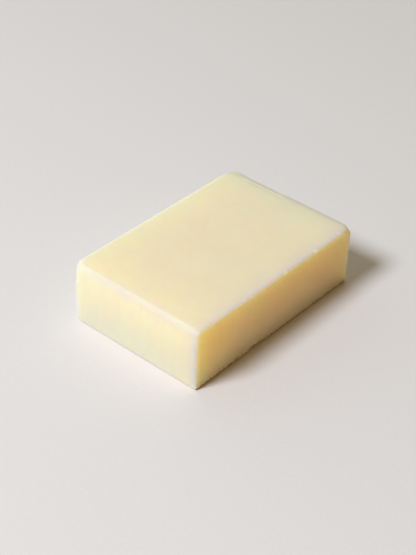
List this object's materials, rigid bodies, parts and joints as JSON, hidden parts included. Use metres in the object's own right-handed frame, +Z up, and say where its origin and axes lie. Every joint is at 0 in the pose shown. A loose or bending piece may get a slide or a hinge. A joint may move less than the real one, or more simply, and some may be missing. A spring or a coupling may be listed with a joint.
{
  "type": "bar of soap",
  "caption": "Plain rectangular bar of soap cut from a cast slab: soft rounded cast edges, one flat side with crisp cut edges.",
  "frame": {"origin": "centre of the bar's footprint, on the face that it lies on", "axes": "+X along the bar's length, -Y out of the cut face, +Z up through its thickness"},
  "size_m": [0.085, 0.0576, 0.0246],
  "materials": {
    "soap": "waxy satin"
  },
  "bodies": {
    "root": {"soap_bar": "soap"}
  },
  "joints": []
}
